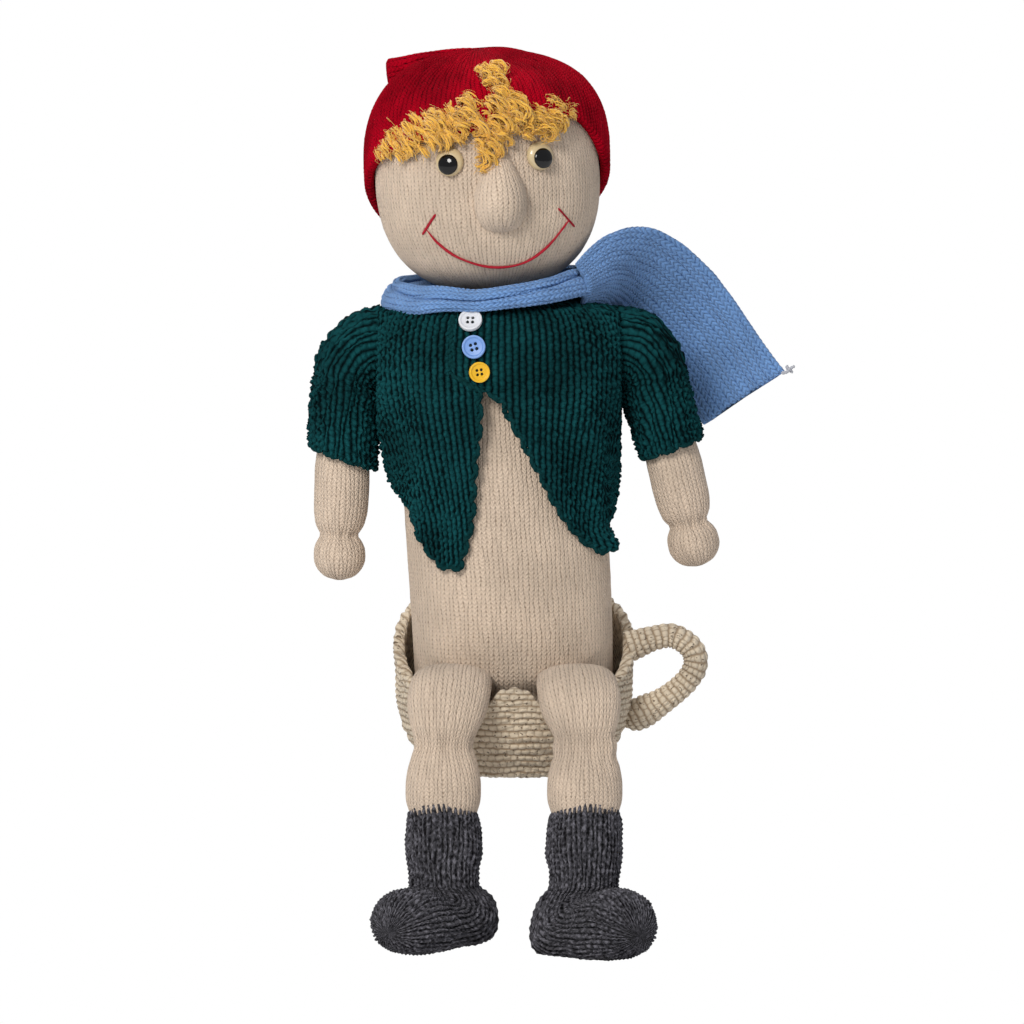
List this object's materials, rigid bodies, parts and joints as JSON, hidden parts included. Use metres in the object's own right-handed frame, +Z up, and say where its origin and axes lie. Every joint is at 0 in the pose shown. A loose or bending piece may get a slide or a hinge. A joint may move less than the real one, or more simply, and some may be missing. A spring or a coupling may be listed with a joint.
{
  "type": "knitted doll in a knitted cup",
  "caption": "Hand-knitted stuffed doll in a jacket, scarf, hat and boots that sits in a soft knitted cup, its legs hanging over the rim.",
  "frame": {"origin": "middle of the cup's flat base", "axes": "+Z up, -Y the way the doll faces, +X towards the cup's handle"},
  "size_m": [0.2879, 0.2097, 0.5367],
  "materials": {
    "cream_knit": "stockinette knit in cream wool",
    "cup_yarn": "tweed wool, garter and crochet stitches",
    "green_yarn": "moss stitch in dark green wool",
    "blue_yarn": "stockinette knit in light blue wool",
    "red_yarn": "ribbed knit in red wool",
    "yellow_yarn": "loose curls of fluffy yellow yarn",
    "grey_yarn": "ribbed knit in dark grey marl",
    "stuffing": "loose fibre filling",
    "eye_cream": "polished",
    "eye_black": "polished",
    "eye_washer": "moulded",
    "white_plastic": "polished",
    "blue_plastic": "polished",
    "yellow_plastic": "polished"
  },
  "bodies": {
    "cup": {"cup_bowl": "cup_yarn", "cup_handle": "cup_yarn"},
    "torso": {"torso_skin": "cream_knit", "torso_filling": "stuffing", "jacket_back": "green_yarn", "jacket_front_left": "green_yarn", "jacket_front_right": "green_yarn", "button_white": "white_plastic", "button_blue": "blue_plastic", "button_yellow": "yellow_plastic", "scarf_wrap": "blue_yarn", "scarf_tail": "blue_yarn", "scarf_back_tail": "blue_yarn"},
    "neck": {"neck": "cream_knit"},
    "head": {"head_skin": "cream_knit", "head_filling": "stuffing", "nose": "cream_knit", "hat": "red_yarn", "hair_fringe": "yellow_yarn", "eye_left": "eye_cream", "eye_left_pupil": "eye_black", "eye_left_washer": "eye_washer", "eye_right": "eye_cream", "eye_right_pupil": "eye_black", "eye_right_washer": "eye_washer"},
    "arm_left": {"arm_left": "cream_knit", "sleeve_left": "green_yarn"},
    "hand_left": {"hand_left": "cream_knit"},
    "thigh_left": {"thigh_left": "cream_knit"},
    "shin_left": {"shin_left": "cream_knit", "boot_left": "grey_yarn", "foot_filling_left": "stuffing"},
    "arm_right": {"arm_right": "cream_knit", "sleeve_right": "green_yarn"},
    "hand_right": {"hand_right": "cream_knit"},
    "thigh_right": {"thigh_right": "cream_knit"},
    "shin_right": {"shin_right": "cream_knit", "boot_right": "grey_yarn", "foot_filling_right": "stuffing"}
  },
  "joints": [
    {"name": "doll_lift", "type": "slide", "parent": "cup", "child": "torso", "axis": [0, -0.15, 0.9887], "range_m": [0, 0.15]},
    {"name": "neck_turn", "type": "hinge", "parent": "torso", "child": "neck", "pos_m": [-0.0135, 0, 0.29], "axis": [0, 0, 1], "range_deg": [-40, 40]},
    {"name": "head_nod", "type": "hinge", "parent": "neck", "child": "head", "pos_m": [-0.0135, 0, 0.29], "axis": [-1, 0, 0], "range_deg": [-8, 8]},
    {"name": "shoulder_left", "type": "hinge", "parent": "torso", "child": "arm_left", "pos_m": [-0.092, 0, 0.253], "axis": [-1, 0, 0], "range_deg": [-30, 110]},
    {"name": "wrist_left", "type": "hinge", "parent": "arm_left", "child": "hand_left", "pos_m": [-0.1046, 0, 0.1432], "axis": [-1, 0, 0], "range_deg": [-25, 25]},
    {"name": "hip_left", "type": "hinge", "parent": "torso", "child": "thigh_left", "pos_m": [-0.035, -0.04201, 0.0605], "axis": [-1, 0, 0], "range_deg": [0, 60]},
    {"name": "knee_left", "type": "hinge", "parent": "thigh_left", "child": "shin_left", "pos_m": [-0.042, -0.09, 0.024], "axis": [-1, 0, 0], "range_deg": [-8, 50]},
    {"name": "shoulder_right", "type": "hinge", "parent": "torso", "child": "arm_right", "pos_m": [0.072, 0, 0.253], "axis": [-1, 0, 0], "range_deg": [-8, 110]},
    {"name": "wrist_right", "type": "hinge", "parent": "arm_right", "child": "hand_right", "pos_m": [0.1043, 0, 0.1511], "axis": [-1, 0, 0], "range_deg": [-25, 25]},
    {"name": "hip_right", "type": "hinge", "parent": "torso", "child": "thigh_right", "pos_m": [0.035, -0.04201, 0.0605], "axis": [-1, 0, 0], "range_deg": [0, 60]},
    {"name": "knee_right", "type": "hinge", "parent": "thigh_right", "child": "shin_right", "pos_m": [0.042, -0.09, 0.024], "axis": [-1, 0, 0], "range_deg": [-8, 50]}
  ]
}
